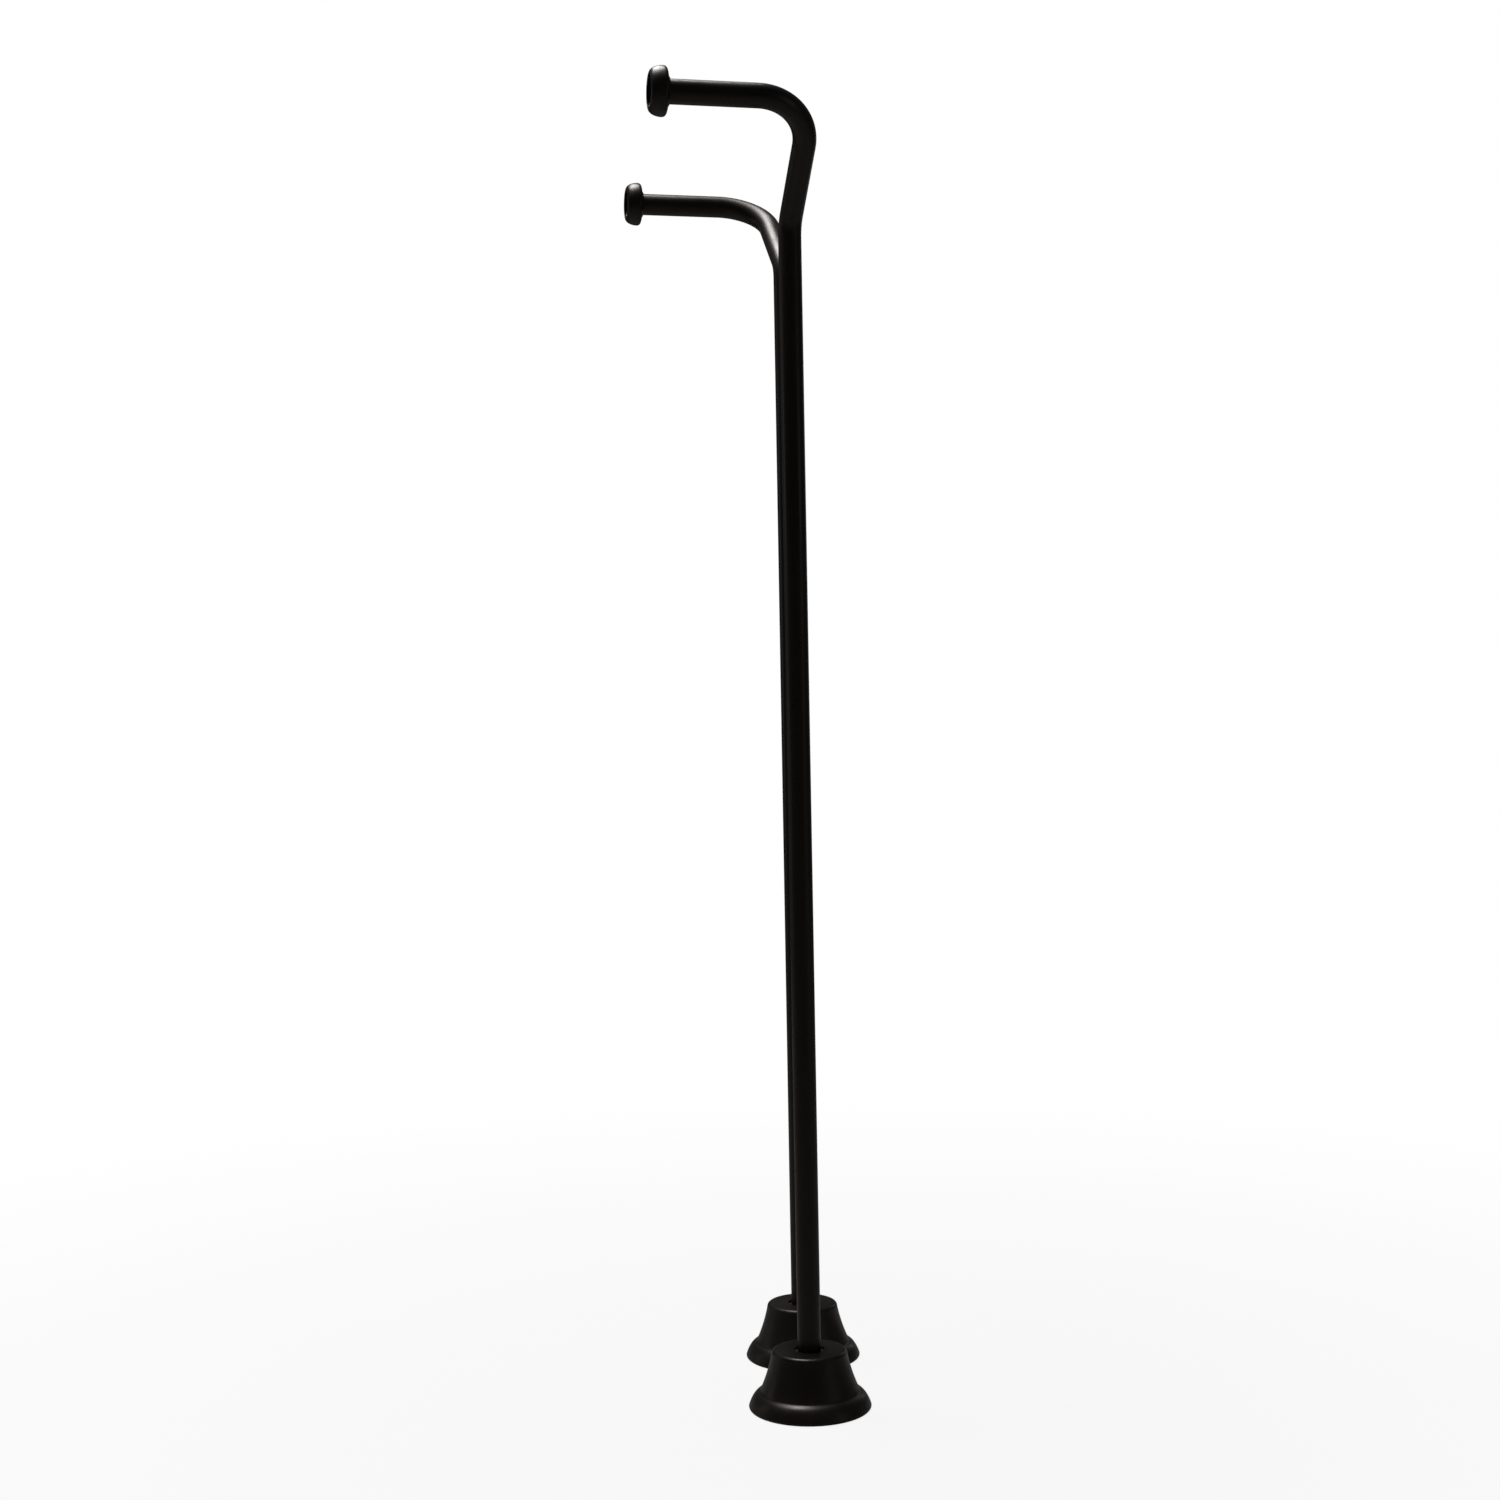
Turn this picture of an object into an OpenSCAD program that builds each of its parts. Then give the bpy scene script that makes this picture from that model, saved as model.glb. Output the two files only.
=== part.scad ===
// A pair of freestanding bath supply lines. Two bent tubes rise from bell-shaped floor flanges,
// lean outwards at the top and turn forward into short arms that end in domed union nuts.
// Left and right are mirror images, and the right one stands a little further back.
// +Z is up, +Y is the way the arms point, and the origin is on the floor at the middle.

/* [Stance] */
// Distance between the two risers, sideways
riser_spacing = 116; // [100:1:200]
// How far the right line stands behind the left one
riser_stagger = 21; // [0:1:60]

/* [Tube] */
// Outside diameter of the supply tube
tube_d = 15.875; // [12.7:0.005:19.05]
// Wall of the supply tube
tube_wall = 1.2; // [0.8:0.1:2]
// Height of the lower bend's corner above the floor
corner_h = 810; // [400:1:900]
// Angle at which the tube leans outwards above the lower bend
lean_angle = 50; // [46:1:54]
// Length of the straight stretch between the two bends
lean_straight = 54; // [30:1:90]
// Reach of the arm's tube in front of the riser
arm_reach = 100; // [90:1:200]
// Centre-line radius of the lower bend
lower_bend_r = 18; // [14:1:30]
// Centre-line radius of the upper bend
upper_bend_r = 36; // [28:1:50]

/* [Floor flange] */
// Radius of the flange at its lip
flange_r = 42; // [38:0.5:60]
// Wall of the flange
flange_wall = 1.6; // [1:0.1:2]
// Radius of the flange's flat top, to the outside of its rounded edge
flange_top_r = 26; // [22:0.5:30]
// Rounding of the top edge
top_edge_r = 3; // [1.5:0.5:5]
// Radius of the wall where it meets the flared skirt
skirt_r = 34; // [31:0.5:36]
// Height of the flared skirt
skirt_h = 11.5; // [8:0.5:14]
// Width of the crease between the wall and the skirt
crease = 0.8; // [0.4:0.1:1.2]
// Rounding of the lip at the floor
lip_edge_r = 1.8; // [1:0.1:3]
// Room above the compression nut for unscrewing it under the flange
lift_room = 9.3; // [8.5:0.1:30]

/* [Flange ring] */
// Thickness of the rubber ring that grips the tube
o_ring_d = 3; // [2:0.1:3.6]
// Gap around the tube at the flange's top
collar_gap = 2.4; // [1.6:0.1:2.6]
// Thickness of the two lips that hold the ring
hub_lip = 1.8; // [1:0.1:2.5]
// Wall of the flange's hub outside the ring's groove
hub_wall = 2; // [1.2:0.1:3]

/* [Floor fitting] */
// Bore of the foot's pipe thread
pipe_bore_d = 18.8; // [16:0.1:23]
// Depth of the pipe thread
pipe_thread_depth = 7; // [6:0.5:9]
// Height of the fitting's hexagonal foot
foot_h = 8; // [7:0.5:10]
// Wall of the foot outside the pipe thread, at the flats
foot_wall = 4.1; // [3:0.1:6]
// Web between the pipe thread and the tube's socket
web_h = 2.5; // [2:0.1:4]
// Depth of the socket that the tube stands in
socket_depth = 7.5; // [6:0.5:9]
// Wall of the male compression thread outside the socket
male_wall = 2.3; // [2:0.1:3]

/* [Compression joint] */
// Height of the ferrule
ferrule_h = 4.5; // [4:0.1:6]
// Radial thickness of the ferrule
ferrule_wall = 1.4; // [1:0.1:1.6]
// Height of the compression nut's bottom above the foot
gland_lift = 1.5; // [1:0.1:3]
// Wall of the compression nut outside its thread, at the flats
gland_wall = 1.6; // [1.2:0.1:3]
// Thickness of the compression nut's top, over the ferrule
gland_cap = 2.6; // [2:0.1:4]

/* [Union] */
// Thickness of the nut's shoulder behind the collar
union_shoulder = 3.2; // [2.5:0.1:4]
// Length of the collar brazed on the tube's end
collar_len = 2.2; // [1.5:0.1:3]
// Step of the collar above the tube
collar_step = 1.5; // [1:0.1:2.5]
// Thickness of the sealing washer
washer_h = 2; // [1:0.1:2.5]
// Length of thread in front of the washer, with the bevel at the mouth
thread_len = 5.3; // [4:0.1:12]
// Wall of the nut at its widest, outside the thread
union_wall = 6; // [4:0.1:10]
// Wall of the nut around its mouth
mouth_wall = 1.2; // [1:0.1:3]
// Depth of the thread relief groove in the nut
relief_depth = 0.4; // [0.2:0.1:0.6]
// Rounding of the nut's back edge
back_edge_r = 1.5; // [0.8:0.1:2.2]
// Bevel around the nut's mouth
mouth_bevel = 0.5; // [0.3:0.1:0.8]

/* [Fits] */
// Radial clearance of a part that slides or turns on another
run_gap = 0.06; // [0.02:0.01:0.1]
// Gap between parts that only rest near each other
rest_gap = 0.3; // [0.1:0.05:0.4]
// Radial room of the collar and washer inside the nut
loose_gap = 0.5; // [0.3:0.1:1]

/* [Hidden] */
$fn = 64;

left = -1;
right = 1;
arc_steps = 8;
lap_h = 0.02;
lap_w = 0.6;
eps = 0.01;

tube_r = tube_d / 2;
tube_bore_r = tube_r - tube_wall;
slide_r = tube_r + run_gap;

// Union, measured from the nut's back face towards its mouth
collar_back = union_shoulder + rest_gap;
washer_back = collar_back + collar_len;
relief_end = washer_back + washer_h;
union_len = relief_end + thread_len;
collar_r = tube_r + collar_step;
union_bore_r = collar_r + loose_gap;
relief_r = union_bore_r + relief_depth;
union_r = union_bore_r + union_wall;
union_mouth_r = union_bore_r + mouth_wall;
dome_start = back_edge_r * 1.5;

// Stance: the box around the pair is centred on the origin
union_back = arm_reach - washer_back;
left_y = (riser_stagger + flange_r - union_back - union_len) / 2;
right_y = left_y - riser_stagger;

// Floor fitting and compression joint, from the floor up
tube_foot_h = pipe_thread_depth + web_h;
male_top = tube_foot_h + socket_depth;
male_r = slide_r + male_wall;
foot_r = pipe_bore_d / 2 + foot_wall;
mouth_chamfer = ferrule_wall + run_gap;
ferrule_bottom = male_top - mouth_chamfer / 2 + rest_gap;
ferrule_r = slide_r + ferrule_wall;
gland_bottom = foot_h + gland_lift;
gland_bore_r = male_r + run_gap;
gland_seat = ferrule_bottom + ferrule_h + rest_gap;
gland_top = gland_seat + gland_cap;

// Tube route
lower_tangent = lower_bend_r * tan(lean_angle / 2);
lean_len = lower_tangent + lean_straight + upper_bend_r;
lean_out = lean_len * sin(lean_angle);
arm_h = corner_h + lean_len * cos(lean_angle);

// Flange and its ring
groove_r = slide_r + o_ring_d;
groove_h = o_ring_d + 2 * run_gap;
hub_bore_r = tube_r + collar_gap;
hub_r = groove_r + hub_wall;
hub_bottom = gland_top + lift_room;
groove_bottom = hub_bottom + hub_lip;
groove_top = groove_bottom + groove_h;
flange_h = groove_top + hub_lip;
skirt_bulge_r = flange_r - skirt_r;

// Points on an arc about [cx, cy], from angle a0 to angle a1
function arc(cx, cy, r, a0, a1, steps = arc_steps) =
    [for (i = [0:steps]) let (a = a0 + (a1 - a0) * i / steps) [cx + r * cos(a), cy + r * sin(a)]];

// A straight stretch of round bar along +Z, with the next stretch at its end
module straight(r, length) {
    cylinder(r = r, h = length);
    translate([0, 0, length]) children();
}

// A bend from +Z towards +X, with the next stretch at its end.
// A faint raised band laps the joint, so that the two stretches always join.
module bend(r, bend_r, angle) {
    translate([bend_r, 0, 0]) {
        rotate([90, 0, 180]) rotate_extrude(angle = angle) translate([bend_r, 0]) circle(r = r);
        rotate([0, angle, 0]) translate([-bend_r, 0, 0]) {
            translate([0, 0, -lap_w / 2]) cylinder(r = r + lap_h, h = lap_w);
            children();
        }
    }
}

// The tube's route as a solid bar of radius r, leaning towards +X; extra runs past both ends
module tube_route(r, extra = 0) {
    translate([0, 0, tube_foot_h - extra])
        straight(r, corner_h - lower_tangent - tube_foot_h + extra)
        bend(r, lower_bend_r, lean_angle)
        straight(r, lean_straight)
        rotate([0, 0, 90]) bend(r, upper_bend_r, 90)
        straight(r, arm_reach - upper_bend_r + extra);
}

// Places a child built for a line that leans towards +X
module on_line(side) {
    translate([side * riser_spacing / 2, side == left ? left_y : right_y, 0])
        mirror([side == left ? 1 : 0, 0, 0]) children();
}

// Places a child built along +Z from the nut's back face, on the arm
module on_arm(side) {
    on_line(side) translate([lean_out, union_back, arm_h]) rotate([-90, 0, 0]) children();
}

// A ring about +Z, from z0 to z1
module ring(inner_r, outer_r, z0, z1) {
    rotate_extrude() translate([inner_r, z0]) square([outer_r - inner_r, z1 - z0]);
}

module riser_tube(side) {
    color([0.07, 0.06, 0.055]) on_line(side) difference() {
        tube_route(tube_r);
        tube_route(tube_bore_r, 1);
    }
}

module tube_collar(side) {
    color([0.75, 0.6, 0.3]) on_arm(side) ring(tube_r, collar_r, collar_back, washer_back);
}

module nut_washer(side) {
    color([0.15, 0.15, 0.15]) on_arm(side) ring(tube_bore_r, collar_r, washer_back, relief_end);
}

// The nut's outline: rounded back edge, widest near the back, then an elliptical dome to the mouth
module union_outline() {
    dome = [for (i = [0:arc_steps]) let (t = 90 * i / arc_steps)
        [union_mouth_r + (union_r - union_mouth_r) * cos(t), dome_start + (union_len - dome_start) * sin(t)]];
    polygon(concat(
        [[slide_r, 0]],
        arc(union_r - back_edge_r, back_edge_r, back_edge_r, -90, 0),
        dome,
        [[union_bore_r + mouth_bevel, union_len],
         [union_bore_r, union_len - mouth_bevel],
         [union_bore_r, relief_end],
         [relief_r, relief_end],
         [relief_r, union_shoulder],
         [slide_r, union_shoulder]]
    ));
}

module union_nut(side) {
    color([0.06, 0.05, 0.045]) on_arm(side) rotate_extrude() union_outline();
}

// The flange's outside: skirt, crease, sloping wall and rounded top edge, from the floor up
function flange_outside() = concat(
    [[flange_r - lip_edge_r, 0]],
    arc(flange_r - lip_edge_r, lip_edge_r, lip_edge_r, -60, 0),
    arc(skirt_r, skirt_h - skirt_bulge_r, skirt_bulge_r, 0, 75),
    [[skirt_r + crease, skirt_h], [skirt_r, skirt_h + crease]],
    arc(flange_top_r - top_edge_r, flange_h - top_edge_r, top_edge_r, 10, 90)
);

// The flange's inside, from the top down to the floor
function flange_inside() = concat([
    [hub_r, flange_h - flange_wall],
    [flange_top_r - flange_wall - top_edge_r / 2, flange_h - flange_wall],
    [flange_top_r - flange_wall, flange_h - flange_wall - top_edge_r],
    [skirt_r - flange_wall, skirt_h]],
    arc(skirt_r, skirt_h - skirt_bulge_r, skirt_bulge_r - flange_wall, 75, 0),
    [[flange_r - 2 * flange_wall, 0]]
);

// The hub that holds the rubber ring: two lips with a groove between them
function flange_hub() = [
    [hub_bore_r, flange_h],
    [hub_bore_r, groove_top],
    [groove_r, groove_top],
    [groove_r, groove_bottom],
    [hub_bore_r, groove_bottom],
    [hub_bore_r, hub_bottom],
    [hub_r, hub_bottom]
];

module floor_flange(side) {
    color([0.06, 0.05, 0.045]) on_line(side) rotate_extrude()
        polygon(concat(flange_outside(), flange_hub(), flange_inside()));
}

module flange_ring(side) {
    color([0.12, 0.12, 0.12]) on_line(side) translate([0, 0, groove_bottom + groove_h / 2])
        rotate_extrude() translate([slide_r + o_ring_d / 2, 0]) circle(d = o_ring_d - run_gap);
}

module floor_adapter(side) {
    color([0.75, 0.6, 0.3]) on_line(side) difference() {
        union() {
            cylinder(r = foot_r / cos(30), h = foot_h, $fn = 6);
            cylinder(r = male_r, h = male_top);
        }
        translate([0, 0, -eps]) cylinder(d = pipe_bore_d, h = pipe_thread_depth + eps);
        cylinder(r = tube_bore_r, h = male_top + eps);
        translate([0, 0, tube_foot_h]) cylinder(r = slide_r, h = socket_depth + eps);
        translate([0, 0, male_top - mouth_chamfer])
            cylinder(r1 = slide_r, r2 = slide_r + mouth_chamfer + eps, h = mouth_chamfer + eps);
    }
}

module ferrule(side) {
    taper_h = ferrule_h / 4;
    tip_r = ferrule_r - ferrule_wall / 2;
    color([0.8, 0.65, 0.35]) on_line(side) translate([0, 0, ferrule_bottom]) rotate_extrude() polygon([
        [slide_r, 0],
        [tip_r, 0],
        [ferrule_r, taper_h],
        [ferrule_r, ferrule_h - taper_h],
        [tip_r, ferrule_h],
        [slide_r, ferrule_h]
    ]);
}

module compression_nut(side) {
    color([0.75, 0.6, 0.3]) on_line(side) difference() {
        translate([0, 0, gland_bottom])
            cylinder(r = (gland_bore_r + gland_wall) / cos(30), h = gland_top - gland_bottom, $fn = 6);
        translate([0, 0, gland_bottom - eps]) cylinder(r = gland_bore_r, h = gland_seat - gland_bottom + eps);
        cylinder(r = slide_r, h = gland_top + eps);
    }
}

riser_tube(left);  // left_riser_tube
tube_collar(left);  // left_tube_collar
union_nut(left);  // left_union_nut
nut_washer(left);  // left_nut_washer
floor_flange(left);  // left_floor_flange
flange_ring(left);  // left_flange_ring
compression_nut(left);  // left_compression_nut
ferrule(left);  // left_ferrule
floor_adapter(left);  // left_floor_adapter
riser_tube(right);  // right_riser_tube
tube_collar(right);  // right_tube_collar
union_nut(right);  // right_union_nut
nut_washer(right);  // right_nut_washer
floor_flange(right);  // right_floor_flange
flange_ring(right);  // right_flange_ring
compression_nut(right);  // right_compression_nut
ferrule(right);  // right_ferrule
floor_adapter(right);  // right_floor_adapter
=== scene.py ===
import math
import bpy
from mathutils import Matrix, Vector


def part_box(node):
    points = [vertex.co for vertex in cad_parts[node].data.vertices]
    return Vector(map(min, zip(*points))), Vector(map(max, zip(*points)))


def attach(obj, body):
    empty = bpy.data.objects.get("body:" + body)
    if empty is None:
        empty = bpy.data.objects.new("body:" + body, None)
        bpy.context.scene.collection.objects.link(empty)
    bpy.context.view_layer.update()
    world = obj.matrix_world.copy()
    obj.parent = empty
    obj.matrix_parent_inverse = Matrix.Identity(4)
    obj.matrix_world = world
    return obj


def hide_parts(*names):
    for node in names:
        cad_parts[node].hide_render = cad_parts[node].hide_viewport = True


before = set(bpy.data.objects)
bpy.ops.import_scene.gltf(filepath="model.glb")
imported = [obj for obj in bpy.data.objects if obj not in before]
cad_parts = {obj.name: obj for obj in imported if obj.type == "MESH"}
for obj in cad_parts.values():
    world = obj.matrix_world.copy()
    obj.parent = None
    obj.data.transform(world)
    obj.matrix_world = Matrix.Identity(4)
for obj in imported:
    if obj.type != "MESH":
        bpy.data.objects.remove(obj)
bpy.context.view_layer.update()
scene = bpy.context.scene
mm = 0.001
runGap = 0.06 * mm   # clearance between the tube and what moves along it


# where each line stands, read from the frame

def lineSizes(side, out):
    flangeLow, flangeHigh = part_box(side + "_floor_flange")
    tubeLow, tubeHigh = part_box(side + "_riser_tube")
    nutLow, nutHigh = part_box(side + "_union_nut")
    riserX = (flangeLow.x + flangeHigh.x) / 2
    riserY = (flangeLow.y + flangeHigh.y) / 2
    return {
        "side": side,
        "out": out,  # -1 leans towards -X, 1 towards +X
        "riser": Vector((riserX, riserY, 0)),
        "tubeRadius": riserY - tubeLow.y,
        "tubeFoot": tubeLow.z,
        "armX": (nutLow.x + nutHigh.x) / 2,
        "armZ": (nutLow.z + nutHigh.z) / 2,
        "tubeEnd": tubeHigh.y,
    }


def onRiser(line, z=0.0):
    return Matrix.Translation(line["riser"] + Vector((0, 0, z)))


def onArm(line, y):
    # local +Z runs along the arm towards the nut's mouth
    return Matrix.Translation((line["armX"], y, line["armZ"])) @ Matrix.Rotation(math.radians(-90), 4, "X")


lines = [lineSizes("left", -1), lineSizes("right", 1)]
print("frame read: lines at", [tuple(round(c, 4) for c in line["riser"]) for line in lines])


# node groups that the finishes share

def addNode(tree, kind, inputs=None, **settings):
    node = tree.nodes.new(kind)
    for name, value in settings.items():
        setattr(node, name, value)
    for key, value in (inputs or {}).items():
        if isinstance(value, bpy.types.NodeSocket):
            tree.links.new(value, node.inputs[key])
        else:
            node.inputs[key].default_value = value
    return node


def newGroup(name, inputs, outputs):
    group = bpy.data.node_groups.new(name, "ShaderNodeTree")
    for label, kind, value in inputs:
        group.interface.new_socket(name=label, in_out="INPUT", socket_type=kind).default_value = value
    for label in outputs:
        group.interface.new_socket(name=label, in_out="OUTPUT", socket_type="NodeSocketFloat")
    return group, group.nodes.new("NodeGroupInput").outputs, group.nodes.new("NodeGroupOutput").inputs


def spread(tree, value, low, high):
    # 0 at low, 1 at high, clamped and smooth between
    return addNode(tree, "ShaderNodeMapRange", {"Value": value, "From Min": low, "From Max": high},
                   interpolation_type="SMOOTHSTEP").outputs["Result"]


def mathNode(tree, operation, first, second):
    return addNode(tree, "ShaderNodeMath", {0: first, 1: second}, operation=operation).outputs[0]


def noiseAt(tree, place, scale, detail, **more):
    inputs = {"Vector": place, "Scale": scale, "Detail": detail, **more}
    return addNode(tree, "ShaderNodeTexNoise", inputs).outputs["Fac"]


def objectPlace(tree):
    return addNode(tree, "ShaderNodeTexCoord").outputs["Object"]


edgeWear = {
    "start": 0.004,            # how far the rounded normal has turned where wear begins
    "patches": (0.38, 0.62),   # noise at which the wear begins to show, and at which it is full
    "patchDetail": 4.0,
    "bevelSamples": 4,
}


def edgeWearGroup():
    # worn edges: where the rounded normal leaves the true one, broken up by noise
    group, given, result = newGroup("edgeWear", [
        ("Width", "NodeSocketFloat", 0.0006), ("Reach", "NodeSocketFloat", 0.12),
        ("Breakup Scale", "NodeSocketFloat", 260.0)], ["Mask"])
    bevel = addNode(group, "ShaderNodeBevel", {"Radius": given["Width"]}, samples=edgeWear["bevelSamples"])
    geometry = addNode(group, "ShaderNodeNewGeometry")
    facing = addNode(group, "ShaderNodeVectorMath", {0: bevel.outputs[0], 1: geometry.outputs["Normal"]},
                     operation="DOT_PRODUCT").outputs["Value"]
    turnAway = mathNode(group, "SUBTRACT", 1.0, facing)
    edge = spread(group, turnAway, edgeWear["start"], given["Reach"])
    noise = noiseAt(group, objectPlace(group), given["Breakup Scale"], edgeWear["patchDetail"])
    patches = spread(group, noise, *edgeWear["patches"])
    group.links.new(mathNode(group, "MULTIPLY", edge, patches), result["Mask"])
    return group


toolMarks = {
    "fineDetail": 2.0,
    "broadDetail": 1.0,
    "broadShare": 0.22,        # scale of the broad marks, as a share of the fine ones' scale
    "streaks": (0.35, 0.65),
}


def toolMarksGroup():
    # fine lines left by the lathe or the drawing die, along the mesh's own "machined" coordinate
    group, given, result = newGroup("toolMarks", [
        ("Scale", "NodeSocketFloat", 1500.0), ("Depth", "NodeSocketFloat", 1.0)], ["Height", "Streaks"])
    along = addNode(group, "ShaderNodeAttribute", attribute_name="machined").outputs["Vector"]
    fine = noiseAt(group, along, given["Scale"], toolMarks["fineDetail"])
    broadScale = mathNode(group, "MULTIPLY", given["Scale"], toolMarks["broadShare"])
    broad = noiseAt(group, along, broadScale, toolMarks["broadDetail"])
    height = mathNode(group, "MULTIPLY", mathNode(group, "ADD", fine, broad), given["Depth"])
    group.links.new(height, result["Height"])
    group.links.new(spread(group, broad, *toolMarks["streaks"]), result["Streaks"])
    return group


fineGrain = {
    "grainDetail": 3.0,
    "peelDetail": 1.0,
    "speckle": (0.45, 0.7),
}


def fineGrainGroup():
    # the small orange peel and pitting of a plated or moulded surface
    group, given, result = newGroup("fineGrain", [
        ("Scale", "NodeSocketFloat", 2500.0), ("Peel Scale", "NodeSocketFloat", 420.0),
        ("Peel", "NodeSocketFloat", 0.5)], ["Height", "Speckle"])
    place = objectPlace(group)
    grain = noiseAt(group, place, given["Scale"], fineGrain["grainDetail"])
    peel = noiseAt(group, place, given["Peel Scale"], fineGrain["peelDetail"])
    height = mathNode(group, "ADD", grain, mathNode(group, "MULTIPLY", peel, given["Peel"]))
    group.links.new(height, result["Height"])
    group.links.new(spread(group, grain, *fineGrain["speckle"]), result["Speckle"])
    return group


handling = {
    "patchDetail": 5.0,
    "patchRoughness": 0.6,
    "patches": (0.35, 0.68),
    "smearShare": 6.0,         # scale of the smears, against the patches' scale
    "smearDetail": 3.0,
    "smearDistortion": 1.2,
    "smears": (0.5, 0.75),
}


def handlingGroup():
    # broad soft patches where hands and a wiping cloth have changed the gloss
    group, given, result = newGroup("handling", [
        ("Scale", "NodeSocketFloat", 28.0), ("Stretch", "NodeSocketVector", (1.0, 1.0, 0.35))],
        ["Patches", "Smears"])
    place = addNode(group, "ShaderNodeVectorMath", {0: objectPlace(group), 1: given["Stretch"]},
                    operation="MULTIPLY").outputs[0]
    patches = noiseAt(group, place, given["Scale"], handling["patchDetail"],
                      Roughness=handling["patchRoughness"])
    smearScale = mathNode(group, "MULTIPLY", given["Scale"], handling["smearShare"])
    smears = noiseAt(group, place, smearScale, handling["smearDetail"],
                     Distortion=handling["smearDistortion"])
    group.links.new(spread(group, patches, *handling["patches"]), result["Patches"])
    group.links.new(spread(group, smears, *handling["smears"]), result["Smears"])
    return group


groups = {"edgeWear": edgeWearGroup(), "toolMarks": toolMarksGroup(),
          "fineGrain": fineGrainGroup(), "handling": handlingGroup()}
print("node groups built:", sorted(groups))


def placeGroup(tree, name, values):
    node = addNode(tree, "ShaderNodeGroup", node_tree=groups[name])
    for label, value in values.items():
        node.inputs[label].default_value = value
    return node.outputs


def mixColour(tree, mask, first, second):
    # on a colour mix, inputs 6 and 7 are the two colours and output 2 is the result
    node = addNode(tree, "ShaderNodeMix", {"Factor": mask}, data_type="RGBA")
    for socket, colour in ((node.inputs[6], first), (node.inputs[7], second)):
        if isinstance(colour, bpy.types.NodeSocket):
            tree.links.new(colour, socket)
        else:
            socket.default_value = (*colour, 1)
    return node.outputs[2]


def mixValue(tree, mask, first, second):
    inputs = {"Value": mask, "To Min": first, "To Max": second}
    return addNode(tree, "ShaderNodeMapRange", inputs).outputs["Result"]


def bump(tree, height, distance, strength, below=None):
    inputs = {"Height": height, "Distance": distance, "Strength": strength}
    if below is not None:
        inputs["Normal"] = below
    return addNode(tree, "ShaderNodeBump", inputs).outputs["Normal"]


def newFinish(name):
    material = bpy.data.materials.new(name)
    material.use_nodes = True
    tree = material.node_tree
    return material, tree, tree.nodes["Principled BSDF"]


def linkSurface(tree, shader, base, rough, normal):
    tree.links.new(base, shader.inputs["Base Color"])
    tree.links.new(rough, shader.inputs["Roughness"])
    tree.links.new(normal, shader.inputs["Normal"])


# near-black plating over brass: satin, slightly warm, browner where it has rubbed thin
blackPlating = {
    "deep": (0.0042, 0.0037, 0.0032),
    "warm": (0.0072, 0.0054, 0.0044),
    "rubbed": (0.034, 0.020, 0.014),
    "rough": (0.32, 0.44),
    "smearLift": 0.05,         # how much rougher a smear is
    "specular": 0.40,
    "specularTint": (1.0, 0.89, 0.85, 1),
    "peelDepth": 0.00003,
    "marksDepth": 0.00002,
    "grain": {"Scale": 3200.0, "Peel Scale": 520.0, "Peel": 0.45},
    "hands": {"Scale": 22.0},
    "wear": {"Width": 0.0009, "Reach": 0.16, "Breakup Scale": 300.0},
}


def satinBlack(name, marksScale, marksStrength, grainStrength):
    material, tree, shader = newFinish(name)
    marks = placeGroup(tree, "toolMarks", {"Scale": marksScale})
    grain = placeGroup(tree, "fineGrain", blackPlating["grain"])
    hands = placeGroup(tree, "handling", blackPlating["hands"])
    wear = placeGroup(tree, "edgeWear", blackPlating["wear"])
    base = mixColour(tree, hands["Patches"], blackPlating["deep"], blackPlating["warm"])
    base = mixColour(tree, wear["Mask"], base, blackPlating["rubbed"])
    rough = mathNode(tree, "ADD", mixValue(tree, hands["Patches"], *blackPlating["rough"]),
                     mixValue(tree, hands["Smears"], 0.0, blackPlating["smearLift"]))
    normal = bump(tree, grain["Height"], blackPlating["peelDepth"], grainStrength)
    normal = bump(tree, marks["Height"], blackPlating["marksDepth"], marksStrength, normal)
    linkSurface(tree, shader, base, rough, normal)
    shader.inputs["Specular IOR Level"].default_value = blackPlating["specular"]
    shader.inputs["Specular Tint"].default_value = blackPlating["specularTint"]
    return material


machinedBrass = {
    "bright": (0.60, 0.40, 0.17),
    "dull": (0.40, 0.25, 0.10),
    "stain": (0.16, 0.085, 0.035),
    "rough": (0.22, 0.42),
    "marksDepth": 0.00004,
    "grainStrength": 0.15,
    "grain": {"Scale": 4200.0, "Peel Scale": 700.0, "Peel": 0.2},
    "hands": {"Scale": 90.0, "Stretch": (1.0, 1.0, 1.0)},
}


def brassFinish(name, marksScale, marksStrength):
    material, tree, shader = newFinish(name)
    marks = placeGroup(tree, "toolMarks", {"Scale": marksScale})
    grain = placeGroup(tree, "fineGrain", machinedBrass["grain"])
    hands = placeGroup(tree, "handling", machinedBrass["hands"])
    base = mixColour(tree, hands["Patches"], machinedBrass["bright"], machinedBrass["dull"])
    base = mixColour(tree, hands["Smears"], base, machinedBrass["stain"])
    base = mixColour(tree, marks["Streaks"], base, machinedBrass["dull"])
    rough = mixValue(tree, hands["Patches"], *machinedBrass["rough"])
    normal = bump(tree, grain["Height"], machinedBrass["marksDepth"], machinedBrass["grainStrength"])
    normal = bump(tree, marks["Height"], machinedBrass["marksDepth"], marksStrength, normal)
    linkSurface(tree, shader, base, rough, normal)
    shader.inputs["Metallic"].default_value = 1.0
    return material


sealRubber = {
    "black": (0.010, 0.010, 0.0105),
    "bloom": (0.032, 0.031, 0.030),
    "rough": (0.62, 0.82),
    "grainDepth": 0.00004,
    "grainStrength": 0.5,
    "grain": {"Scale": 2600.0, "Peel Scale": 600.0, "Peel": 0.6},
    "hands": {"Scale": 140.0, "Stretch": (1.0, 1.0, 1.0)},
}


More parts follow.
